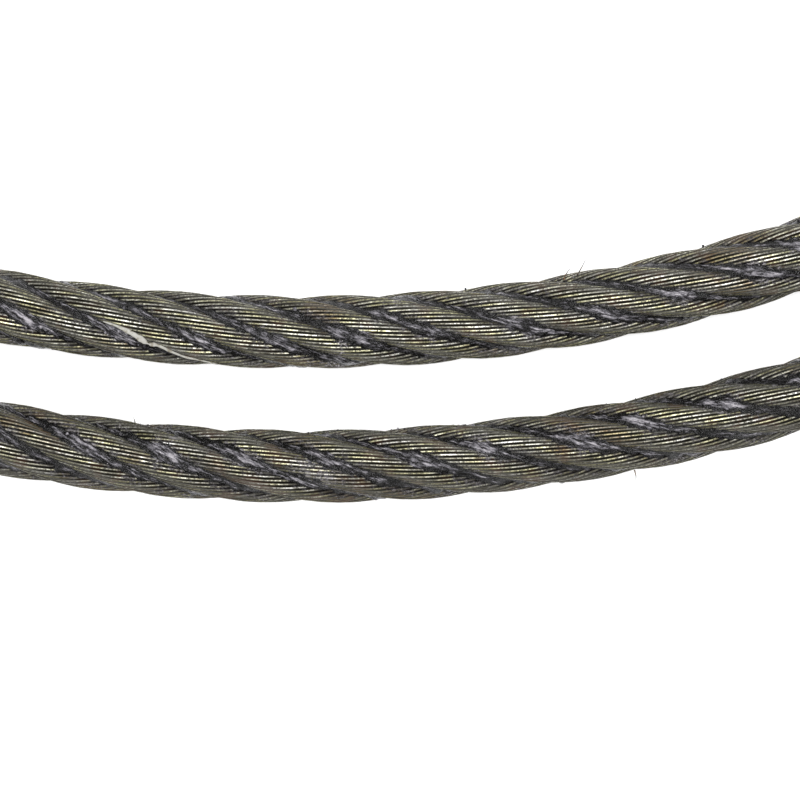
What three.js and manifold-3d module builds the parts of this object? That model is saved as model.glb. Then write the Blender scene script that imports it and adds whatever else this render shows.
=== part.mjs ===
// Wire rope sling with a thimble eye at each end, folded double and tied for storage.
//
// One steel wire rope runs from its cut end in ferrule A, round thimble A, along the upper leg,
// round the fold at the left, back along the lower leg, round thimble B and into ferrule B.
// Millimetres, +Z up. The sling lies on Z = 0, its legs run along X, and the origin is under the
// middle of the whole sling.

import * as THREE from 'three';
import { mergeVertices } from 'three/addons/utils/BufferGeometryUtils.js';
import Module from 'manifold-3d';

// ---- driving dimensions -------------------------------------------------------------------

const ROPE_D = 16;                     // over the crowns of the strands
const LAY = 6.68 * ROPE_D;             // one full turn of a strand about the rope
const LAY_START = THREE.MathUtils.degToRad(13);   // angle of strand 1 at the anchor
const STRANDS = 6;
const STRAND_R = 2.3;
const STRAND_CENTRE_R = 5.4;
const STRAND_SIDES = 5;
const CORE_STRANDS = 6;                // round a seventh, straight one
const CORE_STRAND_R = 0.62;
const CORE_CENTRE_R = 1.65;
const CORE_SIDES = 3;
const CORE_LAY = 0.6 * LAY;
const STATION_STEP = LAY / 9;          // distance between cross-sections along the rope

const CLEAR = 0.3;                     // gap left between pieces that touch on the real sling
const GROOVE_R = ROPE_D / 2 + CLEAR;

const FERRULE_D = 36;
const FERRULE_LENGTH = 80;
const FERRULE_CHAMFER = 4;
const FERRULE_HEIGHT = FERRULE_D / 2;  // axis above the floor
const ROPE_PAIR = ROPE_D / 2 + 0.2;    // each rope part in the ferrule, off the ferrule's axis
const CUT_END = 5;                     // the cut end stands out of the ferrule by this

const THROAT = 3;                      // straight rope between ferrule and thimble
const THROAT_BEND_R = 40;
const THROAT_ANGLE = 32;               // degrees that each side of the eye opens by
const CROWN_R = 35;                    // rope centre line round the thimble's crown
const THIMBLE_HALF = 11.2;
const THIMBLE_WALL = 4.7;
const THIMBLE_LIP = 4.75;              // flanges reach this far past the rope's centre line
const THIMBLE_MEET = 0.25;             // half the gap where the thimble's two ends meet

const TIE_WIRE_D = 2;
const TIE_TURNS = 3;
const TIE_PITCH = TIE_WIRE_D + CLEAR;
const TIE_AT = 110;                    // from the anchor, leftwards along the upper leg

const LYING = ROPE_D / 2;              // height of the rope's centre where it lies on the floor
const TIED = LYING + TIE_WIRE_D + CLEAR;

// The anchor is a point on the upper leg, and the rope's bends are laid out from it both ways.
const ANCHOR = { x: 24.5, y: -42.6, heading: 183.2 };
const FOLD_NECK_R = 110;
const FOLD_R = 5 * ROPE_D;
const HALF_GAP = 14.05;                // half the distance between the tied legs' centre lines
const FOLD_ANGLE = THREE.MathUtils.radToDeg(
  Math.acos((HALF_GAP + FOLD_NECK_R) / (FOLD_NECK_R + FOLD_R)));
const SPLAY_R = 150;                   // the legs spread here, so that the two eyes lie side by side
const SPLAY = 9.5;

// ---- the rope's centre line ---------------------------------------------------------------

const straight = (length) => ({ length, turn: 0 });
const bend = (radius, degrees) => ({
  length: radius * Math.abs(THREE.MathUtils.degToRad(degrees)),
  turn: THREE.MathUtils.degToRad(degrees),
});

// Straight stretch of each side of the eye, so that the sides close on the crown.
const eyeSide = () => {
  const angle = THREE.MathUtils.degToRad(THROAT_ANGLE);
  const opened = ROPE_PAIR + THROAT_BEND_R * (1 - Math.cos(angle));
  return (CROWN_R * Math.cos(angle) - opened) / Math.sin(angle);
};

// One eye from the ferrule's mouth and back into it. hand is 1 if the rope comes back on the left.
const eye = (hand) => [
  bend(THROAT_BEND_R, -hand * THROAT_ANGLE),
  straight(eyeSide()),
  bend(CROWN_R, hand * (180 + 2 * THROAT_ANGLE)),
  straight(eyeSide()),
  bend(THROAT_BEND_R, -hand * THROAT_ANGLE),
];

const termination = (hand) => [
  straight(FERRULE_LENGTH + THROAT),
  ...eye(hand),
  straight(FERRULE_LENGTH + THROAT + CUT_END),
];

const RIGHTWARDS = [bend(350, 14.6), bend(SPLAY_R, SPLAY), straight(8)];
const LEFTWARDS = [bend(384, -14), straight(37)];
const FOLD = [
  bend(FOLD_NECK_R, -FOLD_ANGLE),
  bend(FOLD_R, 180 + 2 * FOLD_ANGLE),
  bend(FOLD_NECK_R, -FOLD_ANGLE),
];
const LOWER_LEG = [straight(47.6), bend(365, 28.4), bend(SPLAY_R, -SPLAY), straight(8)];

const lengthOf = (moves) => moves.reduce((sum, move) => sum + move.length, 0);

// Point and heading at a distance along a list of moves, from a start pose.
function along(start, moves, distance) {
  let { x, y } = start;
  let heading = THREE.MathUtils.degToRad(start.heading);
  let left = distance;
  for (const move of moves) {
    const length = Math.min(left, move.length);
    const turned = move.turn * length / move.length;
    const chord = turned ? 2 * Math.sin(turned / 2) * length / turned : length;
    x += chord * Math.cos(heading + turned / 2);
    y += chord * Math.sin(heading + turned / 2);
    heading += turned;
    left -= length;
    if (left <= 0) break;
  }
  return { x, y, heading };
}

const TOWARDS_A = [...RIGHTWARDS, ...termination(1)];
const TOWARDS_B = [...LEFTWARDS, ...FOLD, ...LOWER_LEG, ...termination(-1)];
const REACH_A = lengthOf(TOWARDS_A);
const REACH_B = lengthOf(TOWARDS_B);
const FREE_A = lengthOf(RIGHTWARDS);
const FREE_B = lengthOf([...LEFTWARDS, ...FOLD, ...LOWER_LEG]);
const ROPE_LENGTH = REACH_A + REACH_B;

const smooth = (value, from, to) => THREE.MathUtils.smoothstep(value, from, to);

// Height of the rope's centre. The distance is counted from the anchor, positive towards B.
// The rope lies on the floor, climbs over the tie's wire, and climbs into both ferrules.
function height(distance) {
  const rise = FERRULE_HEIGHT - LYING;
  const climb = 110;
  const tieB = lengthOf([...LEFTWARDS, ...FOLD]) + lengthOf(LEFTWARDS) - TIE_AT;
  const humps = [TIE_AT, tieB].map((at) => 1 - smooth(Math.abs(distance - at), 4, 70));
  const intoA = smooth(-distance, FREE_A - climb, FREE_A - 2);
  const intoB = smooth(distance, FREE_B - climb, FREE_B - 2);
  return LYING + Math.max(...humps) * (TIED - LYING) + (intoA + intoB) * rise;
}

// Centre of the rope at a signed distance from the anchor, and its side and up directions.
function ropeAt(distance) {
  const back = { ...ANCHOR, heading: ANCHOR.heading - 180 };
  const place = distance < 0
    ? along(back, TOWARDS_A, -distance)
    : along(ANCHOR, TOWARDS_B, distance);
  const heading = place.heading + (distance < 0 ? Math.PI : 0);
  const slope = (height(distance + 1) - height(distance - 1)) / 2;
  const forward = new THREE.Vector3(Math.cos(heading), Math.sin(heading), slope).normalize();
  const side = new THREE.Vector3(-Math.sin(heading), Math.cos(heading), 0);
  const up = new THREE.Vector3().crossVectors(forward, side);
  return { centre: new THREE.Vector3(place.x, place.y, height(distance)), side, up };
}

// A line that winds about the rope at a radius. Radius 0 is the rope's centre line. Its steps
// follow the rope's own length, so that all strands share their cross-sections.
class Lay extends THREE.Curve {
  constructor(radius, phase, lay) {
    super();
    this.radius = radius;
    this.phase = phase;
    this.lay = lay;
  }

  getPoint(t, target = new THREE.Vector3()) {
    const distance = t * ROPE_LENGTH - REACH_A;
    const { centre, side, up } = ropeAt(distance);
    const angle = LAY_START + this.phase + 2 * Math.PI * distance / this.lay;
    return target.copy(centre)
      .addScaledVector(side, this.radius * Math.cos(angle))
      .addScaledVector(up, this.radius * Math.sin(angle));
  }

  getUtoTmapping(u) {
    return u;
  }
}

// ---- geometry helpers ---------------------------------------------------------------------

const wasm = await Module();
wasm.setup();

function solid(geometry) {
  const bare = geometry.clone();
  bare.deleteAttribute('normal');
  bare.deleteAttribute('uv');
  const merged = mergeVertices(bare, 1e-4);
  return new wasm.Manifold(new wasm.Mesh({
    numProp: 3,
    vertProperties: new Float32Array(merged.attributes.position.array),
    triVerts: new Uint32Array(merged.index.array),
  }));
}

function geometryOf(manifold) {
  const mesh = manifold.getMesh();
  const geometry = new THREE.BufferGeometry();
  geometry.setAttribute('position', new THREE.BufferAttribute(mesh.vertProperties, 3));
  geometry.setIndex(new THREE.BufferAttribute(mesh.triVerts, 1));
  return geometry;
}

function polygon(radius, sides) {
  const points = Array.from({ length: sides }, (_, k) => {
    const angle = 2 * Math.PI * k / sides;
    return new THREE.Vector2(radius * Math.cos(angle), radius * Math.sin(angle));
  });
  return new THREE.Shape(points);
}

const sweep = (shape, path, steps) =>
  new THREE.ExtrudeGeometry(shape, { steps, bevelEnabled: false, extrudePath: path });

// ---- materials ----------------------------------------------------------------------------

const metal = (colour, roughness) =>
  new THREE.MeshStandardMaterial({ color: colour, roughness, metalness: 0.9 });

const WIRE = metal('#5b5540', 0.45);
const CORE = metal('#2e2b27', 0.6);
const ALUMINIUM = metal('#b4b6b8', 0.35);
const GALVANISED = metal('#a3a7aa', 0.4);
const TIE = metal('#3b3734', 0.55);

function piece(name, geometry, material) {
  const mesh = new THREE.Mesh(geometry, material);
  mesh.name = name;
  return mesh;
}

// ---- sub-parts ----------------------------------------------------------------------------

const STATIONS = Math.round(ROPE_LENGTH / STATION_STEP);

function strand(number) {
  const line = new Lay(STRAND_CENTRE_R, 2 * Math.PI * number / STRANDS, LAY);
  return piece(`strand_${number}`, sweep(polygon(STRAND_R, STRAND_SIDES), line, STATIONS), WIRE);
}

// The steel core is a small wire rope of its own: core_strand_1 to 6 laid round core_centre.
function coreStrand(name, centreRadius, number) {
  const line = new Lay(centreRadius, 2 * Math.PI * number / CORE_STRANDS, CORE_LAY);
  return piece(name, sweep(polygon(CORE_STRAND_R, CORE_SIDES), line, STATIONS), CORE);
}

// Pressed sleeve along +X from the origin, with one bore for the two rope parts side by side.
function ferruleGeometry() {
  const radius = FERRULE_D / 2;
  const profile = [
    [0, 0],
    [radius - FERRULE_CHAMFER, 0],
    [radius, FERRULE_CHAMFER],
    [radius, FERRULE_LENGTH - FERRULE_CHAMFER],
    [radius - FERRULE_CHAMFER, FERRULE_LENGTH],
    [0, FERRULE_LENGTH],
  ].map(([x, y]) => new THREE.Vector2(x, y));
  const sleeve = new THREE.LatheGeometry(profile, 32);
  sleeve.rotateX(Math.PI / 2);

  const waist = Math.acos(ROPE_PAIR / GROOVE_R);
  const bore = new THREE.Shape();
  bore.absarc(ROPE_PAIR, 0, GROOVE_R, waist - Math.PI, Math.PI - waist, false);
  bore.absarc(-ROPE_PAIR, 0, GROOVE_R, waist, 2 * Math.PI - waist, false);
  const tool = new THREE.ExtrudeGeometry(bore, {
    depth: FERRULE_LENGTH + 2,
    bevelEnabled: false,
    curveSegments: 12,
  });
  tool.translate(0, 0, -1);

  const geometry = geometryOf(solid(sleeve).subtract(solid(tool)));
  geometry.rotateX(Math.PI / 2);
  geometry.rotateZ(Math.PI / 2);
  return geometry;
}

// The rope's centre line round one eye, in the eye's own frame: +X from the throat to the crown.
class EyeLine extends THREE.Curve {
  constructor(moves, from, to) {
    super();
    this.moves = moves;
    this.from = from;
    this.to = to;
  }

  getPoint(t, target = new THREE.Vector3()) {
    const start = { x: 0, y: -ROPE_PAIR, heading: 0 };
    const place = along(start, this.moves, THREE.MathUtils.lerp(this.from, this.to, t));
    return target.set(place.x, place.y, 0);
  }
}

// Channel with a round groove for the rope, bent round the eye until its two ends meet.
function thimbleGeometry() {
  const floor = GROOVE_R + THIMBLE_WALL;
  const section = new THREE.Shape();
  section.moveTo(-THIMBLE_HALF, floor);
  section.lineTo(THIMBLE_HALF, floor);
  section.lineTo(THIMBLE_HALF, -THIMBLE_LIP);
  section.lineTo(GROOVE_R, -THIMBLE_LIP);
  section.absarc(0, 0, GROOVE_R, 0, Math.PI, false);
  section.lineTo(-GROOVE_R, -THIMBLE_LIP);
  section.lineTo(-THIMBLE_HALF, -THIMBLE_LIP);
  section.closePath();

  const moves = eye(1);
  const opened = Math.acos(1 - (floor + THIMBLE_MEET - ROPE_PAIR) / THROAT_BEND_R);
  const inset = THROAT_BEND_R * Math.min(opened, THREE.MathUtils.degToRad(THROAT_ANGLE));
  const path = new EyeLine(moves, inset, lengthOf(moves) - inset);
  return new THREE.ExtrudeGeometry(section, {
    steps: 32,
    bevelEnabled: false,
    curveSegments: 5,
    extrudePath: path,
  });
}

// Binding wire in close turns round both legs. Its straight stretches bridge the gap between them.
class Winding extends THREE.Curve {
  getPoint(t, target = new THREE.Vector3()) {
    const radius = ROPE_D / 2 + CLEAR + TIE_WIRE_D / 2;
    const lap = 4 * HALF_GAP + 2 * Math.PI * radius;
    const turns = TIE_TURNS * t;
    let place = (turns % 1) * lap;
    const advance = (turns - TIE_TURNS / 2) * TIE_PITCH;
    const half = Math.PI * radius;
    const side = place < lap / 2 ? 1 : -1;
    if (side < 0) place -= lap / 2;
    if (place < HALF_GAP) return target.set(advance, side * place, side * radius);
    if (place < HALF_GAP + half) {
      const angle = (place - HALF_GAP) / radius;
      return target.set(
        advance,
        side * (HALF_GAP + radius * Math.sin(angle)),
        side * radius * Math.cos(angle));
    }
    return target.set(advance, side * (2 * HALF_GAP + half - place), -side * radius);
  }
}

function tieWire() {
  const section = polygon(TIE_WIRE_D / 2, 6);
  const mesh = piece('tie_wire', sweep(section, new Winding(), TIE_TURNS * 20), TIE);
  const upper = ropeAt(TIE_AT);
  const towardsLower = upper.side.clone().multiplyScalar(HALF_GAP);
  mesh.position.copy(upper.centre).add(towardsLower);
  mesh.rotation.z = Math.atan2(upper.side.y, upper.side.x) - Math.PI / 2;
  return mesh;
}

// Ferrule and thimble of one end. hand is 1 where the rope comes back on the left of its way out.
function eyeEnd(letter, start, moves, hand) {
  const mouth = along(start, moves, lengthOf(moves));
  const group = new THREE.Group();
  const side = new THREE.Vector3(-Math.sin(mouth.heading), Math.cos(mouth.heading), 0);
  group.position.set(mouth.x, mouth.y, FERRULE_HEIGHT).addScaledVector(side, hand * ROPE_PAIR);
  group.rotation.z = mouth.heading;
  const thimble = piece(`thimble_${letter}`, thimbleGeometry(), GALVANISED);
  thimble.position.x = FERRULE_LENGTH + THROAT;
  group.add(piece(`ferrule_${letter}`, ferruleGeometry(), ALUMINIUM), thimble);
  return group;
}

// ---- assembly -----------------------------------------------------------------------------

const sling = new THREE.Group();
for (let number = 1; number <= STRANDS; number += 1) sling.add(strand(number));
sling.add(coreStrand('core_centre', 0, 0));
for (let number = 1; number <= CORE_STRANDS; number += 1) {
  sling.add(coreStrand(`core_strand_${number}`, CORE_CENTRE_R, number));
}
sling.add(eyeEnd('a', { ...ANCHOR, heading: ANCHOR.heading - 180 }, RIGHTWARDS, 1));
sling.add(eyeEnd('b', ANCHOR, [...LEFTWARDS, ...FOLD, ...LOWER_LEG], -1));
sling.add(tieWire());

export default sling;
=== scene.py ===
"""The look of a greased wire rope sling with two thimble eyes, folded double and tied.

The rope's route repeats the bends of the CAD source. Metres; distances along the rope are counted
from the anchor, a point on the upper leg, and are positive towards eye B.
"""

import math

import bmesh
import bpy
import numpy as np
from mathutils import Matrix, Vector, noise


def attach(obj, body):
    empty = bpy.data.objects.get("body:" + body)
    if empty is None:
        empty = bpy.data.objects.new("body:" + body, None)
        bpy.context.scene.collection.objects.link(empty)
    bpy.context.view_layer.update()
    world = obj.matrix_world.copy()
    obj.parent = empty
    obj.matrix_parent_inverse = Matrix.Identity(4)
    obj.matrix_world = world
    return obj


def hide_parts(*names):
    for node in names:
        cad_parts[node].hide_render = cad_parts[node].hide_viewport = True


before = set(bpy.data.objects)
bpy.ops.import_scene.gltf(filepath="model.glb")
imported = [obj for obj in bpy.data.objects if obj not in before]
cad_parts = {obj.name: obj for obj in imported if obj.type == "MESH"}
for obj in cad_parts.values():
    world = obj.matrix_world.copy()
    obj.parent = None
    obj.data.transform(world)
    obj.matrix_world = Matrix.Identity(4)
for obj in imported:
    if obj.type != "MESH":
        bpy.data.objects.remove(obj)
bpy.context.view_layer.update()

MM = 0.001

# ---- the rope and its route, as in the CAD source ----

ROPE_D = 16 * MM
LAY = 6.68 * ROPE_D
LAY_START = math.radians(13)
STRANDS = 6
STRAND_CENTRE_R = 5.4 * MM
CORE_STRANDS = 6
CORE_CENTRE_R = 1.8 * MM
CORE_LAY = 0.6 * LAY
ROPE_PAIR = ROPE_D / 2 + 0.2 * MM      # half the distance between the two runs in a ferrule
FERRULE_D = 36 * MM
FERRULE_LENGTH = 80 * MM
FERRULE_CLIMB = 110 * MM               # the length in which the rope rises to a ferrule's axis
CUT_END = 5 * MM
THROAT = 3 * MM
THROAT_BEND_R = 40 * MM
THROAT_ANGLE = 32
CROWN_R = 35 * MM
THIMBLE_HALF = 11.2 * MM
THIMBLE_WALL = 4.7 * MM
THIMBLE_LIP = 4.75 * MM
GROOVE_R = 8.3 * MM
TIE_WIRE_D = 2 * MM
TIE_GAP = 0.3 * MM
TIE_AT = 110 * MM
TIE_HUMP = (4 * MM, 70 * MM)           # flat over the tie, and down on the floor that far from it
LYING = ROPE_D / 2
TIED = LYING + TIE_WIRE_D + TIE_GAP
ANCHOR = (24.5 * MM, -42.6 * MM, 183.2)     # x, y and heading in degrees
FOLD_NECK_R = 110 * MM
FOLD_R = 5 * ROPE_D
HALF_GAP = 14.05 * MM
FOLD_ANGLE = math.degrees(math.acos((HALF_GAP + FOLD_NECK_R) / (FOLD_NECK_R + FOLD_R)))
SPLAY_R = 150 * MM
SPLAY = 9.5

# ---- the wires and the grease ----

STRAND_R = 2.58 * MM
WIRES = 18
WIRE_LAY = 38 * MM
RIDGE = (-66, -33, 0, 33, 66)          # degrees round a wire where its outline has points
WIRE_POINTS = len(RIDGE) + 1           # and one in the groove beside it
WIRE_R = STRAND_R * math.sin(math.pi / WIRES) / (1 + math.sin(math.pi / WIRES))
WIRE_CENTRE_R = STRAND_R - WIRE_R
CORE_STRAND_R = 0.88 * MM
CORE_WIRES = 6
CORE_WIRE_LAY = 18 * MM

# Distances from the rope's centre line: where crumbs lie and the grease's patterns are worked out,
# its surface on average, and the lowest and highest that it stands.
VALLEY_R = 6.9 * MM
PACKED_R = 6.75 * MM
PACKED_LOW, PACKED_HIGH = 5.9 * MM, 7.85 * MM
SHORE_DEGREES = (3.5, 8.0)             # off a valley's middle: where the painted shade along its edges starts and is full
STREAK = 0.25                          # how fast patterns change along a valley, against across it

# Grease stands high once in each valley, near where the valley passes the top of the rope: how far
# to the side of the top, how much that varies, how long the smear is, and its distance from the
# rope's centre line.
SMEAR_SIDE, SMEAR_SPREAD = 1.8 * MM, 1.2 * MM
SMEAR_LENGTHS = (4 * MM, 6 * MM)
SMEAR_R = 7.4 * MM
SMEAR_RISE = 0.85 * MM                 # how far a smear lifts the grease's surface
CRUMBS = 9000                          # drawn, of which those outside a cluster are left out
END_INSET = 0.5 * MM                   # how far the grease stays inside the rope's cut ends

# What sticks to the rope, in mm: distance along the rope, offset to its side, and height over its
# centre line.
SLIVER = [
    (64, 0.3, 7.9), (61, 0.9, 7.8), (58, 2.0, 7.7), (55.6, 3.2, 7.5), (53.8, 4.3, 7.0),
    (52.2, 4.1, 7.1), (49, 5.4, 6.2), (46, 6.4, 5.3), (43, 6.8, 4.6), (39, 7.5, 3.4),
]
BRISTLES = [
    [(-40, -7.2, 2.0), (-41.2, -8.6, 2.4), (-42.8, -10.6, 2.8)],
    [(-37, -6.6, 4.0), (-37.4, -7.6, 3.6), (-38.8, -8.9, 3.0)],
    [(894.8, -7.4, 1.0), (894.9, -8.8, 0.6), (894.6, -9.9, 0.2)],
    [(786.5, 6.6, 2.0), (786.6, 7.8, 2.2), (786.2, 8.7, 2.4)],
]
SPECKS = [
    (831.6, 7.9, 0.5), (843.5, 7.6, 1.5), (845, 7.7, 1.0), (846.5, 7.6, 0.5), (788, 7.2, 2.5),
    (789.5, 7.3, 1.5), (891.5, 7.7, 1.0), (898, 7.7, 1.0), (917, 7.7, 1.5), (62, 7.6, 1.5),
    (-68, -7.6, 1.5), (-15, -7.6, 1.0), (812, -7.6, 1.0), (870, -7.6, 1.0), (905, -7.6, 1.0),
]

# The stretch of the lower leg that gets painted shade on its outer side, and how far that shade fades out.
SHADED_STRETCH = (750 * MM, 950 * MM)
SHADE_FADE = 60 * MM

# The picture, the lamp over it, and how densely the rope is built in and out of it.
VIEW_WIDTH = 174.2 * MM
VIEW_CENTRE = (ANCHOR[0], ANCHOR[1] - 15.4 * MM)
LAMP_PLACE = (VIEW_CENTRE[0], VIEW_CENTRE[1] + 30 * MM, 1.0)
LAMP_SIZE = 0.52
LAMP_POWER = 18
SKY_STRENGTH = 0.5
FLOOR_REACH = 3.0
IN_VIEW = 0.56                         # of the picture's width, to either side of its middle
FINE_STEP = 1.1 * MM
GREASE_STEP = 0.5 * MM
COARSE_STEP = 3 * MM
CORE_STEP = 4 * MM


def straight(length):
    """A move along the route: its length and how far it turns."""
    return length, 0.0


def bend(radius, degrees):
    """A move round an arc, to the left if degrees is positive."""
    return radius * math.radians(abs(degrees)), math.radians(degrees)


def length_of(moves):
    return sum(length for length, _ in moves)


def eye(hand):
    """One eye from the ferrule's mouth and back. hand is 1 if the rope comes back on the left."""
    angle = math.radians(THROAT_ANGLE)
    opened = ROPE_PAIR + THROAT_BEND_R * (1 - math.cos(angle))
    side = straight((CROWN_R * math.cos(angle) - opened) / math.sin(angle))
    out = bend(THROAT_BEND_R, -hand * THROAT_ANGLE)
    return [out, side, bend(CROWN_R, hand * (180 + 2 * THROAT_ANGLE)), side, out]


def termination(hand):
    """Through the ferrule, round the eye and back through the ferrule to the rope's end."""
    sleeve = FERRULE_LENGTH + THROAT
    return [straight(sleeve), *eye(hand), straight(sleeve + CUT_END)]


RIGHTWARDS = [bend(350 * MM, 14.6), bend(SPLAY_R, SPLAY), straight(8 * MM)]
LEFTWARDS = [bend(384 * MM, -14), straight(37 * MM)]
FOLD = [
    bend(FOLD_NECK_R, -FOLD_ANGLE),
    bend(FOLD_R, 180 + 2 * FOLD_ANGLE),
    bend(FOLD_NECK_R, -FOLD_ANGLE),
]
LOWER_LEG = [straight(47.6 * MM), bend(365 * MM, 28.4), bend(SPLAY_R, -SPLAY), straight(8 * MM)]
TO_FERRULE_B = [*LEFTWARDS, *FOLD, *LOWER_LEG]
TOWARDS_A = [*RIGHTWARDS, *termination(1)]
TOWARDS_B = [*TO_FERRULE_B, *termination(-1)]
REACH_A, REACH_B = length_of(TOWARDS_A), length_of(TOWARDS_B)
FREE_A, FREE_B = length_of(RIGHTWARDS), length_of(TO_FERRULE_B)
BACKWARDS = (ANCHOR[0], ANCHOR[1], ANCHOR[2] - 180)


def trace(start, moves, distances):
    """x, y and heading at each distance along a list of moves, from a start pose."""
    x, y, heading = start[0], start[1], math.radians(start[2])
    found = np.zeros((3, len(distances)))
    passed = 0.0
    for length, turn in moves:
        here = distances >= passed
        part = np.minimum(distances[here] - passed, length)
        turned = turn * part / length
        chord = part * np.sinc(turned / 2 / math.pi)
        found[0, here] = x + chord * np.cos(heading + turned / 2)
        found[1, here] = y + chord * np.sin(heading + turned / 2)
        found[2, here] = heading + turned
        chord = length * np.sinc(turn / 2 / math.pi)
        x += chord * math.cos(heading + turn / 2)
        y += chord * math.sin(heading + turn / 2)
        heading += turn
        passed += length
    return found


def smooth(values, low, high):
    """A soft step: 0 up to low, 1 from high on."""
    t = np.clip((values - low) / (high - low), 0, 1)
    return t * t * (3 - 2 * t)


def height(distances):
    """The rope lies on the floor, climbs over the tie's wire, and climbs into both ferrules."""
    rise = FERRULE_D / 2 - LYING
    tie_b = length_of(LEFTWARDS + FOLD) + length_of(LEFTWARDS) - TIE_AT
    humps = [1 - smooth(abs(distances - at), *TIE_HUMP) for at in (TIE_AT, tie_b)]
    into_a = smooth(-distances, FREE_A - FERRULE_CLIMB, FREE_A - 2 * MM)
    into_b = smooth(distances, FREE_B - FERRULE_CLIMB, FREE_B - 2 * MM)
    return LYING + np.maximum(*humps) * (TIED - LYING) + (into_a + into_b) * rise


def unit(vectors):
    return vectors / np.linalg.norm(vectors, axis=1, keepdims=True)


def rope_frame(distances):
    """Centre of the rope and its side, up and forward directions at each distance."""
    distances = np.asarray(distances, float)
    to_a = trace(BACKWARDS, TOWARDS_A, -distances)
    to_a[2] += math.pi
    x, y, heading = np.where(distances < 0, to_a, trace(ANCHOR, TOWARDS_B, distances))
    centre = np.stack([x, y, height(distances)], axis=1)
    slope = (height(distances + MM) - height(distances - MM)) / (2 * MM)
    forward = unit(np.stack([np.cos(heading), np.sin(heading), slope], axis=1))
    side = np.stack([-np.sin(heading), np.cos(heading), 0 * heading], axis=1)
    return centre, side, np.cross(forward, side), forward


def stations(low, high, fine, coarse):
    """Distances from low to high, a fine step apart in the camera's view and coarse elsewhere."""
    dense = np.arange(low, high, fine)
    centre = rope_frame(dense)[0]
    near = abs(centre[:, 0] - VIEW_CENTRE[0]) < IN_VIEW * VIEW_WIDTH
    every = max(1, round(coarse / fine))
    kept = near | (np.arange(len(dense)) % every == 0)
    return np.append(dense[kept], high)


# ---- mesh helpers ----


def loft(name, rings, closed=False):
    """A closed body through rings of points. Each ring turns from side to up, seen along +forward.
    Flat ends close it, or its last ring meets its first."""
    count, sides, _ = rings.shape
    corner = np.arange(count * sides).reshape(count, sides)
    first, second = (corner, np.roll(corner, -1, 0)) if closed else (corner[:-1], corner[1:])
    quads = np.stack(
        [first, np.roll(first, -1, 1), np.roll(second, -1, 1), second], axis=-1
    ).reshape(-1, 4)
    ends = [] if closed else [corner[0][::-1], corner[-1]]
    loops = np.concatenate([quads.ravel(), *ends])
    starts = np.concatenate([np.arange(len(quads)) * 4, len(quads) * 4 + np.arange(len(ends)) * sides])
    mesh = bpy.data.meshes.new(name)
    mesh.vertices.add(count * sides)
    mesh.vertices.foreach_set("co", rings.astype(np.float32).ravel())
    mesh.loops.add(len(loops))
    mesh.loops.foreach_set("vertex_index", loops.astype(np.int32))
    mesh.polygons.add(len(starts))
    mesh.polygons.foreach_set("loop_start", starts.astype(np.int32))
    mesh.update(calc_edges=True)
    mesh.validate()
    return mesh


def piece(name, mesh, material, nodes=(), sharp=50):
    """An object of the sling: smooth shaded, riding on the root, standing for CAD nodes."""
    mesh.polygons.foreach_set("use_smooth", np.ones(len(mesh.polygons), bool))
    mesh.set_sharp_from_angle(angle=math.radians(sharp))
    mesh.materials.append(material)
    thing = bpy.data.objects.new(name, mesh)
    bpy.context.collection.objects.link(thing)
    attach(thing, "root")
    if nodes:
        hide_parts(*nodes)
    return thing


def point_values(mesh, name, values):
    """Numbers or vectors kept on the mesh's points, for its material to read."""
    kind = "FLOAT_VECTOR" if values.ndim == 2 else "FLOAT"
    layer = mesh.attributes.new(name, kind, "POINT")
    layer.data.foreach_set("vector" if values.ndim == 2 else "value", values.astype(np.float32).ravel())


def laid(distances, radius, phase, lay):
    """A line that winds about the rope, with its outward, across and forward directions."""
    centre, side, up, _ = rope_frame(distances)
    angle = (LAY_START + phase + 2 * math.pi * distances / lay)[:, None]
    out = np.cos(angle) * side + np.sin(angle) * up
    line = centre + radius * out
    forward = unit(np.gradient(line, distances, axis=0))
    out = unit(out - (out * forward).sum(1, keepdims=True) * forward)
    return line, out, np.cross(forward, out), forward


def tube(line, out, across, section):
    """Rings of a section, an array of complex numbers (outward + i across), along a line."""
    section = np.broadcast_to(section, (len(line), section.shape[-1]))
    return (
        line[:, None]
        + section.real[..., None] * out[:, None]
        + section.imag[..., None] * across[:, None]
    )


def round_tube(name, line, radius, sides=14):
    """Rings of a round wire along any smooth line."""
    forward = unit(np.gradient(line, axis=0))
    normal = np.cross(forward[0], (0.3, 0.2, 1.0))
    out = []
    for direction in forward:
        normal = normal - normal.dot(direction) * direction
        normal = normal / np.linalg.norm(normal)
        out.append(normal)
    out = np.array(out)
    section = np.exp(2j * math.pi * np.arange(sides) / sides) * np.reshape(radius, (-1, 1))
    return loft(name, tube(line, out, np.cross(forward, out), section))


# ---- material helpers ----


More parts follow.
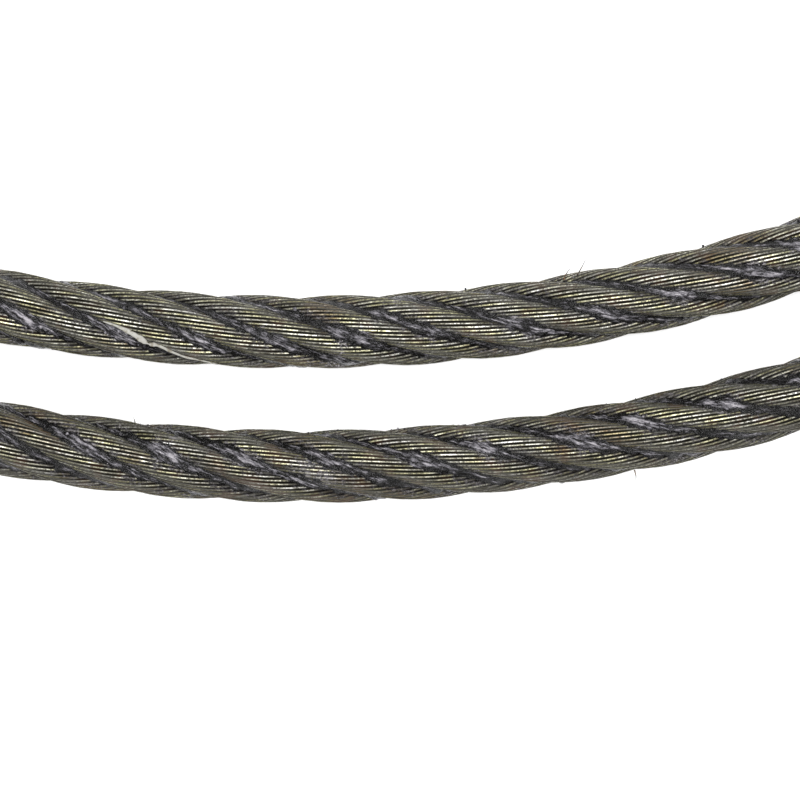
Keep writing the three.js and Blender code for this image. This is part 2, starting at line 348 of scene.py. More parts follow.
class Paint:
    """A node material built step by step around its Principled shader."""

    def __init__(self, name, roughness=0.5, metallic=0.0, specular=0.5):
        self.material = bpy.data.materials.new(name)
        self.material.use_nodes = True
        self.tree = self.material.node_tree
        self.shader = self.tree.nodes["Principled BSDF"]
        self.shader.inputs["Roughness"].default_value = roughness
        self.shader.inputs["Metallic"].default_value = metallic
        self.shader.inputs["Specular IOR Level"].default_value = specular
        self.place = self.tree.nodes.new("ShaderNodeTexCoord").outputs["Object"]

    def plug(self, value, socket):
        if isinstance(value, bpy.types.NodeSocket):
            self.tree.links.new(value, socket)
        else:
            socket.default_value = value

    def math(self, operation, a, b=0.0):
        node = self.tree.nodes.new("ShaderNodeMath")
        node.operation = operation
        self.plug(a, node.inputs[0])
        self.plug(b, node.inputs[1])
        return node.outputs[0]

    def span(self, value, low, high, to_low=0.0, to_high=1.0):
        """A soft step from to_low, where value is low, to to_high, where it is high."""
        node = self.tree.nodes.new("ShaderNodeMapRange")
        node.interpolation_type = "SMOOTHSTEP"
        for k, v in enumerate((value, low, high, to_low, to_high)):
            self.plug(v, node.inputs[k])
        return node.outputs[0]

    def mix(self, share, a, b):
        node = self.tree.nodes.new("ShaderNodeMix")
        node.data_type = "RGBA"
        self.plug(share, node.inputs[0])
        self.plug(a, node.inputs[6])
        self.plug(b, node.inputs[7])
        return node.outputs[2]

    def blend_multiply(self, a, b):
        mixed = self.mix(1.0, a, b)
        mixed.node.blend_type = "MULTIPLY"
        return mixed

    def noise(self, scale, detail=2.0, roughness=0.5, place=None):
        node = self.tree.nodes.new("ShaderNodeTexNoise")
        self.plug(self.place if place is None else place, node.inputs["Vector"])
        node.inputs["Scale"].default_value = scale
        node.inputs["Detail"].default_value = detail
        node.inputs["Roughness"].default_value = roughness
        return node.outputs["Fac"]

    def cells(self, scale):
        node = self.tree.nodes.new("ShaderNodeTexVoronoi")
        self.plug(self.place, node.inputs["Vector"])
        node.inputs["Scale"].default_value = scale
        return node

    def ramp(self, value, *stops):
        node = self.tree.nodes.new("ShaderNodeValToRGB")
        for _ in stops[2:]:
            node.color_ramp.elements.new(0.5)
        for element, (position, colour) in zip(node.color_ramp.elements, stops):
            element.position, element.color = position, (*colour, 1)
        self.plug(value, node.inputs[0])
        return node.outputs[0]

    def attribute(self, name):
        node = self.tree.nodes.new("ShaderNodeAttribute")
        node.attribute_name = name
        return node

    def split(self, vector):
        node = self.tree.nodes.new("ShaderNodeSeparateXYZ")
        self.plug(vector, node.inputs[0])
        return node.outputs

    def join(self, x, y, z):
        node = self.tree.nodes.new("ShaderNodeCombineXYZ")
        for k, v in enumerate((x, y, z)):
            self.plug(v, node.inputs[k])
        return node.outputs[0]

    def bump(self, height_value, distance, strength=1.0, under=None):
        node = self.tree.nodes.new("ShaderNodeBump")
        node.inputs["Strength"].default_value = strength
        self.plug(distance, node.inputs["Distance"])
        self.plug(height_value, node.inputs["Height"])
        if under is not None:
            self.plug(under, node.inputs["Normal"])
        return node.outputs[0]

    def set(self, **sockets):
        for name, value in sockets.items():
            self.plug(value, self.shader.inputs[name.replace("_", " ")])
        return self.material


# ---- materials ----


def stretched(paint, x, y, z):
    """The surface point with its axes stretched unevenly, so that noise turns into streaks."""
    return [paint.math("MULTIPLY", axis, scale) for axis, scale in zip(paint.split(paint.place), (x, y, z))]


def bare_wire(paint, row, along):
    """Drawn steel, streaked and tinted along each wire, with brown stains."""
    streaks = paint.noise(1.0, 4.0, 0.7, paint.join(row, paint.math("MULTIPLY", along, 240), 0.0))
    waves = paint.noise(1.0, 2.0, 0.5, paint.join(row, paint.math("MULTIPLY", along, 80), 5.0))
    specks = paint.noise(2100, 3.0, 0.9)
    tone = paint.math("ADD", paint.math("MULTIPLY", streaks, 0.28), paint.math("MULTIPLY", waves, 0.26))
    tone = paint.math("ADD", tone, paint.math("MULTIPLY", specks, 0.46))
    steel = paint.ramp(
        tone,
        (0.38, (0.022, 0.019, 0.011)),
        (0.46, (0.190, 0.184, 0.142)),
        (0.53, (0.430, 0.422, 0.345)),
        (0.61, (0.940, 0.935, 0.840)),
    )
    drift = paint.noise(1.0, 2.0, 0.5, paint.join(row, paint.math("MULTIPLY", along, 120), 9.0))
    tint = paint.ramp(drift, (0.40, (0.98, 0.96, 0.72)), (0.50, (1.0, 1.0, 0.98)), (0.60, (0.92, 0.92, 1.0)))
    stain = paint.span(paint.noise(70, 3.0, 0.6), 0.52, 0.68, 0.0, 0.6)
    return paint.mix(stain, paint.blend_multiply(steel, tint), (0.130, 0.075, 0.028, 1))


def painted_shade_over(paint, steel):
    """The steel with painted shade over it: darker towards the floor, and on the outer side of the shaded
    stretch of the lower leg.
    """
    low, high = 4 * MM, 10.5 * MM
    # Painted shade: the steel darkens from 10.5 mm down to 4 mm over the floor.
    floor_shade = paint.span(paint.split(paint.place)[2], low, high, 0.42, 0.0)
    # Painted shade on the outer side of a stretch of the lower leg, mixed to the same near-black.
    side_shade = paint.math("MULTIPLY", paint.attribute("side_shade").outputs["Fac"], 0.5)
    return paint.mix(paint.math("MAXIMUM", floor_shade, side_shade), steel, (0.030, 0.025, 0.018, 1))


def film_over(paint, depth, swelling):
    """How thick the film of grease is: full in the valleys, with a ragged edge that reaches higher
    where grease stands high."""
    ragged = paint.span(paint.noise(260, 4.0, 0.75), 0.3, 0.7, -0.8 * MM, 0.8 * MM)
    spread = paint.math("MULTIPLY", swelling, -0.75 * MM)
    edge = paint.math("ADD", paint.math("ADD", depth, ragged), spread)
    return paint.span(edge, 6.8 * MM, 7.35 * MM, 1.0, 0.0)


def film_colour(paint, film, depth, swelling):
    """Black grease, with lilac grit at the smears and up the strands, and rust and painted shade in the
    grooves.
    """
    clear = paint.span(depth, 6.85 * MM, 7.15 * MM)
    lilac = paint.span(paint.noise(1900, 3.0, 0.85), 0.50, 0.59)
    lilac = paint.math("MULTIPLY", lilac, paint.math("MAXIMUM", swelling, 0.30))
    lilac = paint.math("MULTIPLY", lilac, paint.math("MAXIMUM", swelling, clear))
    smear = paint.mix(lilac, (0.006, 0.005, 0.0055, 1), (0.340, 0.320, 0.345, 1))
    rusty = paint.span(paint.noise(190, 3.0, 0.6), 0.50, 0.66)
    # The grooves' near-black colour: grease with rust, and painted shade.
    groove_grease_and_shade = paint.mix(rusty, (0.004, 0.0035, 0.002, 1), (0.020, 0.009, 0.005, 1))
    return paint.mix(film, groove_grease_and_shade, smear)


def greased_wire():
    """Drawn steel wires, wiped bright along their tops, with old grease and painted shade in every groove, a
    film of grease that comes out of the valleys, and a thin grey veil round the smears."""
    paint = Paint("greased_wire", specular=0.4)
    lane, along, hollow = paint.split(paint.attribute("laid").outputs["Vector"])
    depth = paint.attribute("depth").outputs["Fac"]
    swelling = paint.attribute("swell").outputs["Fac"]
    steel = painted_shade_over(paint, bare_wire(paint, paint.math("MULTIPLY", lane, 7.31), along))
    film = film_over(paint, depth, swelling)
    dirt = paint.span(paint.noise(1700, 3.0, 0.85), 0.51, 0.58, 0.0, 0.92)
    # Grease and painted shade: every groove between the wires turns near-black, and bare steel is left only
    # along each wire's top.
    grease_and_groove_shade = paint.math("MAXIMUM", paint.span(hollow, 0.04, 0.26), paint.math("MULTIPLY", film, 0.88))
    grease_and_groove_shade = paint.math("MAXIMUM", grease_and_groove_shade, dirt)
    colour = paint.mix(grease_and_groove_shade, steel, film_colour(paint, film, depth, swelling))
    wisp = paint.join(paint.math("MULTIPLY", lane, 0.8), paint.math("MULTIPLY", along, 420), 3.0)
    patches = paint.math("ADD", paint.math("MULTIPLY", swelling, 0.6), paint.noise(1.0, 5.0, 0.8, wisp))
    veil = paint.span(patches, 0.88, 1.06, 0.0, 0.5)
    grit = paint.noise(2400, 3.0, 0.7)
    return paint.set(
        Base_Color=paint.mix(veil, colour, (0.150, 0.140, 0.155, 1)),
        Metallic=paint.span(paint.math("MAXIMUM", grease_and_groove_shade, veil), 0.0, 1.0, 0.95, 0.0),
        Roughness=paint.span(film, 0.0, 1.0, 0.46, 0.36),
        Specular_IOR_Level=paint.span(film, 0.0, 1.0, 0.4, 0.25),
        Specular_Tint=(0.72, 0.70, 0.62, 1),
        Normal=paint.bump(grit, paint.span(film, 0.0, 1.0, 0.06 * MM, 0.24 * MM), 0.8),
    )


def grease():
    """Dark wet grease that holds grit: lumpy, streaked along the valleys, lilac grey where it
    stands high, with painted shade along the strands."""
    paint = Paint("grease", specular=0.32)
    swelling = paint.attribute("swell").outputs["Fac"]
    lumps = paint.noise(900, 4.0, 0.62)
    grit = paint.noise(2400, 3.0, 0.7)
    streaks = paint.noise(1400, 4.0, 0.76, paint.attribute("helix").outputs["Vector"])
    tone = paint.math("ADD", streaks, paint.math("MULTIPLY", swelling, 0.10))
    # Painted shadow where the grease meets the strands.
    shadow = paint.math("MULTIPLY", paint.attribute("shore_shade").outputs["Fac"], 0.16)
    tone = paint.math("SUBTRACT", paint.math("ADD", tone, 0.035), shadow)
    colour = paint.ramp(
        tone,
        (0.52, (0.0012, 0.001, 0.001)),
        (0.56, (0.012, 0.011, 0.013)),
        (0.64, (0.110, 0.105, 0.118)),
        (0.74, (0.330, 0.312, 0.335)),
    )
    return paint.set(
        Base_Color=colour,
        Roughness=paint.span(grit, 0.35, 0.65, 0.16, 0.36),
        Normal=paint.bump(grit, 0.25 * MM, 1.0, paint.bump(lumps, 0.8 * MM, 1.0)),
    )


def galvanised():
    """Hot-dip zinc gone dull: faint spangle, white bloom, and grease rubbed into it."""
    paint = Paint("galvanised_steel", metallic=0.85)
    shade = paint.split(paint.cells(240).outputs["Color"])[0]
    cloud = paint.noise(60, 4.0, 0.6)
    bloom = paint.span(paint.noise(130, 5.0, 0.7), 0.50, 0.72, 0.0, 0.55)
    rubbed = paint.span(paint.noise(38, 5.0, 0.7), 0.46, 0.64, 0.0, 0.85)
    colour = paint.mix(shade, (0.150, 0.158, 0.165, 1), (0.235, 0.243, 0.250, 1))
    colour = paint.mix(bloom, colour, (0.330, 0.330, 0.325, 1))
    colour = paint.mix(rubbed, colour, (0.055, 0.050, 0.046, 1))
    scratches = paint.noise(1.0, 3.0, 0.6, paint.join(*stretched(paint, 240, 2200, 900)))
    return paint.set(
        Base_Color=colour,
        Roughness=paint.span(cloud, 0.3, 0.7, 0.36, 0.58),
        Normal=paint.bump(scratches, 0.05 * MM, 0.5, paint.bump(paint.noise(300, 3.0, 0.5), 0.15 * MM, 0.5)),
    )


def pressed_aluminium():
    """Aluminium with the drag marks of the pressing dies, dents and dark grease prints."""
    paint = Paint("pressed_aluminium", metallic=0.9)
    cloud = paint.noise(70, 4.0, 0.6)
    drag = paint.noise(1.0, 3.0, 0.6, paint.join(*stretched(paint, 260, 1800, 1800)))
    prints = paint.span(paint.noise(42, 5.0, 0.7), 0.47, 0.66, 0.0, 0.85)
    colour = paint.mix(cloud, (0.270, 0.272, 0.275, 1), (0.400, 0.400, 0.395, 1))
    colour = paint.mix(prints, colour, (0.075, 0.068, 0.060, 1))
    dents = paint.noise(140, 2.0, 0.5)
    return paint.set(
        Base_Color=colour,
        Roughness=paint.span(cloud, 0.3, 0.7, 0.26, 0.46),
        Normal=paint.bump(drag, 0.05 * MM, 0.6, paint.bump(dents, 0.4 * MM, 0.5)),
    )


def splinter():
    """A pale dry sliver with a brown fold in it."""
    paint = Paint("pale_splinter", roughness=0.55)
    brown = paint.span(paint.noise(900, 4.0, 0.75), 0.46, 0.66, 0.0, 0.9)
    return paint.set(
        Base_Color=paint.mix(brown, (0.240, 0.235, 0.212, 1), (0.100, 0.085, 0.055, 1)),
        Normal=paint.bump(paint.noise(1800, 3.0, 0.6), 0.1 * MM, 0.6),
    )


def annealed_wire():
    """Black annealed binding wire with a little rust."""
    paint = Paint("annealed_wire", metallic=0.8)
    rust = paint.span(paint.noise(400, 4.0, 0.6), 0.5, 0.7)
    colour = paint.mix(rust, (0.050, 0.047, 0.045, 1), (0.17, 0.085, 0.04, 1))
    return paint.set(
        Base_Color=colour,
        Roughness=paint.span(rust, 0.0, 1.0, 0.38, 0.75),
        Normal=paint.bump(paint.noise(1500, 2.0, 0.5), 0.05 * MM, 0.5),
    )


# ---- camera, light and floor ----


def camera():
    """Looks straight down on both legs from the distance at which VIEW_WIDTH fills the picture."""
    data = bpy.data.cameras.new("camera")
    data.lens, data.sensor_width = 100, 36
    distance = VIEW_WIDTH * data.lens / data.sensor_width
    eye_point = bpy.data.objects.new("camera", data)
    eye_point.location = (*VIEW_CENTRE, LYING + distance)
    bpy.context.collection.objects.link(eye_point)
    bpy.context.scene.camera = eye_point


def area_light(name, place, size, power):
    """A round softbox that looks at the middle of the view."""
    data = bpy.data.lights.new(name, "AREA")
    data.shape, data.size, data.energy = "DISK", size, power
    lamp = bpy.data.objects.new(name, data)
    lamp.location = place
    aim = Vector((*VIEW_CENTRE, 0)) - lamp.location
    lamp.rotation_euler = aim.to_track_quat("-Z", "Y").to_euler()
    bpy.context.collection.objects.link(lamp)


def studio():
    """A white sky, one softbox overhead and a white floor."""
    world = bpy.data.worlds.new("studio")
    world.use_nodes = True
    world.node_tree.nodes["Background"].inputs["Color"].default_value = (1, 1, 1, 1)
    world.node_tree.nodes["Background"].inputs["Strength"].default_value = SKY_STRENGTH
    bpy.context.scene.world = world
    area_light("overhead", LAMP_PLACE, LAMP_SIZE, LAMP_POWER)
    bpy.context.scene.view_settings.view_transform = "Standard"

    paint = Paint("white_floor", roughness=0.9, specular=0.1)
    paint.set(Base_Color=(0.95, 0.95, 0.95, 1))
    mesh = bpy.data.meshes.new("floor")
    corners = [(FLOOR_REACH * x, FLOOR_REACH * y, 0) for x, y in ((-1, -1), (1, -1), (1, 1), (-1, 1))]
    mesh.from_pydata(corners, [], [(0, 1, 2, 3)])
    mesh.materials.append(paint.material)
    floor = bpy.data.objects.new("floor", mesh)
    bpy.context.collection.objects.link(floor)


# ---- the rope ----


def bumpiness(points, frequency, octaves=3):
    """Fractal noise at each point, about -1 to 1."""
    return np.array(
        [noise.fractal(Vector(p), 0.8, 2.1, octaves) for p in points.reshape(-1, 3) * frequency]
    ).reshape(points.shape[:-1])


def strand_section():
    """Outline of a strand: WIRES half-round ridges with a sharp groove between each two, and how
    hollow each point is, from 0 on a ridge to 1 in a groove."""
    points, hollow = [], []
    for wire in range(WIRES):
        turn = np.exp(2j * math.pi * wire / WIRES)
        for degrees in RIDGE:
            points.append(turn * (WIRE_CENTRE_R + WIRE_R * np.exp(1j * math.radians(degrees))))
            hollow.append(abs(degrees) / RIDGE[-1] * 0.45)
        half = math.pi / WIRES
        points.append(turn * np.exp(1j * half) * WIRE_CENTRE_R * math.cos(half))
        hollow.append(1.0)
    return np.array(points), np.array(hollow)


def strand(number, material):
    """One of the rope's six strands, with its wires laid the other way round it."""
    at = stations(-REACH_A, REACH_B, FINE_STEP, COARSE_STEP)
    line, out, across, _ = laid(at, STRAND_CENTRE_R, 2 * math.pi * number / STRANDS, LAY)
    section, hollow = strand_section()
    ripple = np.random.default_rng(number)
    sway = np.ones((len(at), WIRES))
    for period in (23 * MM, 57 * MM):
        sway += 0.006 * np.sin(2 * math.pi * (at[:, None] / period + ripple.random(WIRES)))
    turned = section * np.repeat(sway, WIRE_POINTS, axis=1) * np.exp(-2j * math.pi * at / WIRE_LAY)[:, None]
    rings = tube(line, out, across, turned)
    mesh = loft(f"rope_strand_{number}", rings)
    lane = np.repeat(np.arange(WIRES) + WIRES * number, WIRE_POINTS)
    shape = (len(at), len(section))
    laid_at = np.stack(
        [np.broadcast_to(lane, shape), np.broadcast_to(at[:, None], shape), np.broadcast_to(hollow, shape)],
        axis=-1,
    )
    centre, side, _, _ = rope_frame(at)
    spoke = rings - centre[:, None]
    # Painted shade: 1 on the rope's outer side within the shaded stretch.
    outer = smooth(-(spoke * side[:, None]).sum(-1), -3 * MM, 6 * MM)
    near = smooth(at, SHADED_STRETCH[0] - SHADE_FADE, SHADED_STRETCH[0]) - smooth(at, SHADED_STRETCH[1], SHADED_STRETCH[1] + SHADE_FADE)
    point_values(mesh, "laid", laid_at.reshape(-1, 3))
    point_values(mesh, "depth", np.linalg.norm(spoke, axis=-1).ravel())
    point_values(mesh, "side_shade", (outer * near[:, None]).ravel())
    point_values(mesh, "swell", swell(rings).ravel())
    return piece(mesh.name, mesh, material, [f"strand_{number}"])


def core_strand(name, radius, number, material, node):
    """A strand of the steel core, outlined by its six outer wires."""
    at = stations(-REACH_A, REACH_B, CORE_STEP, CORE_STEP)
    line, out, across, _ = laid(at, radius, 2 * math.pi * number / CORE_STRANDS, CORE_LAY)
    sides = 3 * CORE_WIRES
    around = np.arange(sides) / sides * 2 * math.pi
    groove = np.abs(np.sin(CORE_WIRES / 2 * around))
    section = CORE_STRAND_R * (1 - 0.12 * groove) * np.exp(1j * around)
    rings = tube(line, out, across, section * np.exp(-2j * math.pi * at / CORE_WIRE_LAY)[:, None])
    return piece(name, loft(name, rings), material, [node])


def smears():
    """Distance along the rope, offset to its side and length of the smear in each valley."""
    draw = np.random.default_rng(5)
    valley = np.arange(-math.floor(REACH_B / LAY * STRANDS), math.floor(REACH_A / LAY * STRANDS))
    offset = SMEAR_SIDE + SMEAR_SPREAD * draw.uniform(-1, 1, len(valley))
    top = math.pi / 2 - LAY_START - math.pi / STRANDS
    at = ((top - np.arcsin(offset / SMEAR_R)) / (2 * math.pi) - valley / STRANDS) * LAY
    return at, offset, draw.uniform(*SMEAR_LENGTHS, len(valley))


def swell(points):
    """How high grease stands at each point, 0 to 1: at the smears, and in patches elsewhere."""
    at, offset, reach = smears()
    centre, side, up, forward = rope_frame(at)
    rise = np.sqrt(SMEAR_R**2 - offset**2)
    place = centre + offset[:, None] * side + rise[:, None] * up
    outward = unit(place - centre)
    slant = 2 * math.pi * 7.0 * MM / LAY
    valley = unit(forward + slant * np.cross(forward, outward))
    found = 0.7 * smooth(bumpiness(points, 60, 2), 0.3, 0.7)
    for k in range(len(at)):
        gap = points - place[k]
        square = (gap**2).sum(-1)
        near = square < (2.6 * reach[k]) ** 2    # beyond, the bell adds nothing that shows
        along = (gap[near] @ valley[k]) ** 2
        width = 0.32 * reach[k] + 0.7 * MM
        bell = np.exp(-along / reach[k] ** 2 - (square[near] - along) / width**2)
        found[near] = np.maximum(found[near], bell)
    return found


def grease_packing(name, start, end, material):
    """Grease between the strands: a tube whose surface fills the valleys unevenly. Its points also
    keep where they lie along their valley, and how much painted shade they get near the strands' edges."""
    at = stations(start, end, GREASE_STEP, COARSE_STEP)
    centre, side, up, _ = rope_frame(at)
    sides = 96
    around = np.arange(sides) / sides * 2 * math.pi
    angle = around[None, :] + (LAY_START + 2 * math.pi * at / LAY)[:, None]
    spoke = np.cos(angle)[..., None] * side[:, None] + np.sin(angle)[..., None] * up[:, None]
    points = centre[:, None] + VALLEY_R * spoke
    high = swell(points)
    fill = PACKED_R + 0.5 * MM * bumpiness(points, 130) + 0.4 * MM * bumpiness(points, 650)
    radius = np.clip(fill + SMEAR_RISE * high, PACKED_LOW, PACKED_HIGH)
    mesh = loft(name, centre[:, None] + radius[..., None] * spoke)
    drawn = np.broadcast_to(STREAK * at[:, None], high.shape)
    circle = VALLEY_R * np.exp(1j * np.broadcast_to(around, high.shape))
    off_middle = np.degrees(np.abs((around % (2 * math.pi / STRANDS)) - math.pi / STRANDS))
    # Painted shade along the strands' edges, weaker where grease stands high.
    shore_shade = np.broadcast_to(smooth(off_middle, *SHORE_DEGREES), high.shape) * (1 - 0.75 * high)
    point_values(mesh, "swell", high.ravel())
    point_values(mesh, "shore_shade", shore_shade.ravel())
    point_values(mesh, "helix", np.stack([circle.real, circle.imag, drawn], axis=-1).reshape(-1, 3))
    return piece(name, mesh, material, sharp=180)


def on_rope(points):
    """Places in space from rows of distance, offset and height on the rope, in mm."""
    at, offset, rise = np.array(points).T * MM
    centre, side, up, _ = rope_frame(at)
    return centre + offset[:, None] * side + rise[:, None] * up


def through(points, count):
    """A smooth line of count points through a few given ones."""
    knots = np.arange(len(points))
    where = np.linspace(0, len(points) - 1, count)
    line = np.stack([np.interp(where, knots, axis) for axis in points.T], axis=1)
    ends = line[[0, -1]]
    for _ in range(count // len(points)):
        line[1:-1] = (line[:-2] + 2 * line[1:-1] + line[2:]) / 4
        line[[0, -1]] = ends
    return line


def sliver(name, material):
    """A thin curled splinter lying in a valley, widest a third of the way along and folded once."""
    count = 60
    line = through(on_rope(SLIVER), count)
    forward = unit(np.gradient(line, axis=0))
    flat = np.cross(forward, (0, 0, 1.0))
    out = unit(np.cross(flat, forward))
    t = np.linspace(0, 1, count)
    # Half its width in mm: slim ends, a belly, ragged edges and the fold.
    width = 0.06 + 0.36 * np.exp(-((t - 0.32) / 0.2) ** 2) + 0.21 * np.sin(math.pi * t) ** 0.5
    width = width * (1 + 0.12 * np.sin(41 * t) + 0.10 * np.sin(97 * t + 1))
    width = width * (1 - 0.72 * np.exp(-((t - 0.44) / 0.03) ** 2))
    around = np.exp(2j * math.pi * np.arange(12) / 12)
    half_thick = 0.11
    section = (half_thick * around.real + 1j * width[:, None] * around.imag) * MM
    return piece(name, loft(name, tube(line, out, unit(flat), section)), material, sharp=180)


def bristles(name, material):
    """Stray hairs and stubs of broken wire that stand out from the rope's edge."""
    body = bmesh.new()
    for points in BRISTLES:
        line = through(on_rope(points), 14)
        body.from_mesh(round_tube(name, line, np.linspace(0.16, 0.06, 14) * MM, 8))
    mesh = bpy.data.meshes.new(name)
    body.to_mesh(mesh)
    body.free()
    return piece(name, mesh, material, sharp=180)


def crumbs(name, low, high, material):
    """Crumbs of stiff old grease and grit, in clusters along the valleys between the strands."""
    draw = np.random.default_rng(37)
    at = draw.uniform(low, high, CRUMBS)
    valley = draw.integers(0, STRANDS, CRUMBS)
    angle = LAY_START + math.pi / STRANDS + valley * 2 * math.pi / STRANDS + 2 * math.pi * at / LAY
    angle = angle + draw.normal(0, 0.13, CRUMBS)
    centre, side, up, _ = rope_frame(at)
    out = np.cos(angle)[:, None] * side + np.sin(angle)[:, None] * up
    place = centre + (VALLEY_R + draw.normal(0, 0.22 * MM, CRUMBS))[:, None] * out
    cluster = 0.8 * swell(place) + 0.5 * bumpiness(place, 130, 2)
    kept = cluster > 0.15 + 0.3 * draw.random(CRUMBS)
    place = np.concatenate([place[kept], on_rope(SPECKS)])
    size = 0.16 * MM + 0.22 * MM * draw.random(len(place)) ** 2
    ball = bmesh.new()
    bmesh.ops.create_icosphere(ball, subdivisions=1, radius=1)
    corners = np.array([v.co for v in ball.verts])
    faces = np.array([[v.index for v in f.verts] for f in ball.faces])
    ball.free()
    spin = unit(draw.normal(size=(len(place), 3)))
    stretch = 1 + 0.9 * draw.random((len(place), 1, 1)) * (corners @ spin.T).T[..., None] ** 2
    knobs = 1 + 0.28 * draw.normal(size=(len(place), len(corners), 1))
    points = place[:, None] + size[:, None, None] * corners * stretch * knobs
    joined = faces[None] + np.arange(len(place))[:, None, None] * len(corners)
    mesh = bpy.data.meshes.new(name)
    mesh.from_pydata(points.reshape(-1, 3).tolist(), [], joined.reshape(-1, 3).tolist())
    point_values(mesh, "swell", np.full(len(mesh.vertices), 0.5))
    point_values(mesh, "helix", np.repeat(place, len(corners), axis=0))
    return piece(name, mesh, material, sharp=180)


def rope():
    """Strands, core, grease and what sticks to them."""
    wire, core, fat = greased_wire(), annealed_wire(), grease()
    strands = [strand(number, wire) for number in range(1, STRANDS + 1)]
    cores = [core_strand("wire_core_centre", 0.0, 0, core, "core_centre")]
    for number in range(1, CORE_STRANDS + 1):
        name = f"wire_core_strand_{number}"
        cores.append(core_strand(name, CORE_CENTRE_R, number, core, f"core_strand_{number}"))
    low, high = -FREE_A - FERRULE_LENGTH - THROAT, FREE_B + FERRULE_LENGTH + THROAT
    packing = grease_packing("grease_packing", low, high, fat)
    grease_packing("grease_in_eye_a", -REACH_A + END_INSET, low, fat)
    grease_packing("grease_in_eye_b", high, REACH_B - END_INSET, fat)
    bits = [
        crumbs("grease_crumbs", -FREE_A, FREE_B, fat),
        sliver("stuck_sliver", splinter()),
        bristles("stuck_bristles", core),
    ]
    path = rope_frame(np.linspace(low, high, 400))[0]


# ---- ferrules, thimbles and tie ----


def mouth(start, moves, hand):
    """The ferrule's end towards the rope: its axis point, its direction and its left side."""
    x, y, heading = trace(start, moves, np.array([length_of(moves)]))[:, 0]
    ahead = np.array([math.cos(heading), math.sin(heading), 0])
    left = np.array([-math.sin(heading), math.cos(heading), 0])
    return np.array([x, y, FERRULE_D / 2]) + hand * ROPE_PAIR * left, ahead, left


def ferrule(letter, start, ahead, left, material):
    """Pressed sleeve with rolled ends and the two seams that the dies leave."""
    sides, roll, seam_height = 128, 5 * MM, 0.35 * MM
    turn = np.radians(np.linspace(0, 90, 9))
    rise = np.concatenate([roll * (1 - np.cos(turn)), FERRULE_LENGTH - roll * (1 - np.cos(turn[::-1]))])
    radius = FERRULE_D / 2 - seam_height - roll + roll * np.sin(np.concatenate([turn, turn[::-1]]))
    around = np.arange(sides) / sides * 2 * math.pi
    seam = seam_height * np.exp(-((np.sin(around) / 0.045) ** 2))
    section = (radius[:, None] + seam * (radius[:, None] > 0.9 * radius.max())) * np.exp(1j * around)
    line = start + rise[:, None] * ahead
    up = np.broadcast_to([0.0, 0.0, 1.0], line.shape)
    rings = tube(line, np.broadcast_to(left, line.shape), up, section)
    name = f"pressed_ferrule_{letter}"
    return piece(name, loft(name, rings), material, [f"ferrule_{letter}"], sharp=60)


def thimble_section():
    """Channel section: outward (away from the eye) is real, across is imaginary."""
    floor, half, lip, edge = GROOVE_R + THIMBLE_WALL, THIMBLE_HALF, THIMBLE_LIP, 1.2 * MM
    groove = np.radians(np.linspace(90, 270, 17))
    groove = GROOVE_R * np.exp(1j * groove)
    quarter = np.radians(np.linspace(0, 90, 5))

    def corner(centre, first):
        return centre + edge * np.exp(1j * (quarter + math.radians(first)))

    outline = [
        *corner(complex(-floor + edge, -half + edge), 180),
        *corner(complex(lip - edge, -half + edge), 270),
        complex(lip, -GROOVE_R),
        *groove[::-1],
        complex(lip, GROOVE_R),
        *corner(complex(lip - edge, half - edge), 0),
        *corner(complex(-floor + edge, half - edge), 90),
    ]
    return np.array(outline)


def thimble(letter, start, ahead, left, material):
    """Grooved channel bent round the inside of the eye, its two ends meeting at the ferrule."""
    moves = eye(1)
    meet = 0.25 * MM
    opened = math.acos(1 - (GROOVE_R + THIMBLE_WALL + meet - ROPE_PAIR) / THROAT_BEND_R)
    inset = THROAT_BEND_R * opened
    at = np.linspace(inset, length_of(moves) - inset, 97)
    x, y, heading = trace((0, -ROPE_PAIR, 0), moves, at)
    origin = start + (FERRULE_LENGTH + THROAT) * ahead
    line = origin + x[:, None] * ahead + y[:, None] * left
    outward = np.sin(heading)[:, None] * ahead - np.cos(heading)[:, None] * left
    up = np.broadcast_to([0.0, 0.0, 1.0], line.shape)
    rings = tube(line, outward, up, thimble_section())
    name = f"eye_thimble_{letter}"
    return piece(name, loft(name, rings), material, [f"thimble_{letter}"], sharp=40)


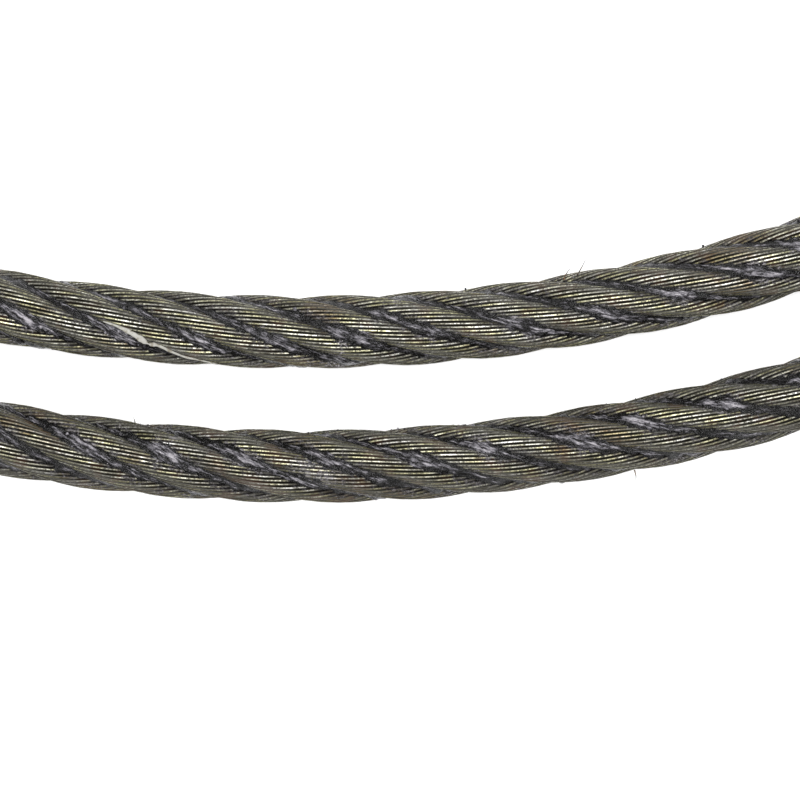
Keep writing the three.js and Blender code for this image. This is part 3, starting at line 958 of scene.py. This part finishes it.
def winding(turns, radius, pitch, steps):
    """Points of close turns round both legs, in the tie's own frame: x along the legs."""
    lap = 4 * HALF_GAP + 2 * math.pi * radius
    t = np.linspace(0, turns, turns * steps + 1)
    place = (t % 1) * lap
    sign = np.where(place < lap / 2, 1.0, -1.0)
    place = np.where(sign > 0, place, place - lap / 2)
    angle = np.clip((place - HALF_GAP) / radius, 0, math.pi)
    flat = np.minimum(place, HALF_GAP) - np.maximum(place - HALF_GAP - math.pi * radius, 0)
    y = sign * (flat + radius * np.sin(angle))
    z = sign * radius * np.cos(angle)
    return np.stack([(t - turns / 2) * pitch, y, z], axis=1)


def tie(material):
    """Close turns of wire round both legs, and its two ends twisted together between them."""
    radius = ROPE_D / 2 + TIE_GAP + TIE_WIRE_D / 2
    local = winding(3, radius, TIE_WIRE_D + TIE_GAP, 96)
    centre, side, _, _ = rope_frame(np.array([TIE_AT]))
    middle = centre[0] + HALF_GAP * side[0]
    along = np.array([side[0][1], -side[0][0], 0])
    axes = np.array([along, side[0], (0, 0, 1)])
    body = bmesh.new()
    body.from_mesh(round_tube("binding_wire", middle + local @ axes, TIE_WIRE_D / 2))
    t = np.linspace(0, 1, 90)
    twists, twist_r = 3.4, 1.05 * MM
    twist = 2 * math.pi * twists * t
    for turn in (0, math.pi):
        pigtail = np.stack([
            (5 + 20 * t) * MM,
            twist_r * np.cos(twist + turn) + 2.5 * MM * t**2,
            radius - 1.5 * MM + twist_r * np.sin(twist + turn) - 9 * MM * t**2,
        ], axis=1)
        body.from_mesh(round_tube("pigtail", middle + pigtail @ axes, TIE_WIRE_D / 2))
    mesh = bpy.data.meshes.new("binding_wire")
    body.to_mesh(mesh)
    body.free()
    return piece("binding_wire", mesh, material, ["tie_wire"])


def ends():
    """Both ferrules and both thimbles."""
    zinc, aluminium = galvanised(), pressed_aluminium()
    for letter, start, moves, hand in (
        ("a", BACKWARDS, RIGHTWARDS, 1),
        ("b", ANCHOR, TO_FERRULE_B, -1),
    ):
        place, ahead, left = mouth(start, moves, hand)
        ferrule(letter, place, ahead, left, aluminium)
        thimble(letter, place, ahead, left, zinc)


camera()
rope()
ends()
tie(annealed_wire())
studio()
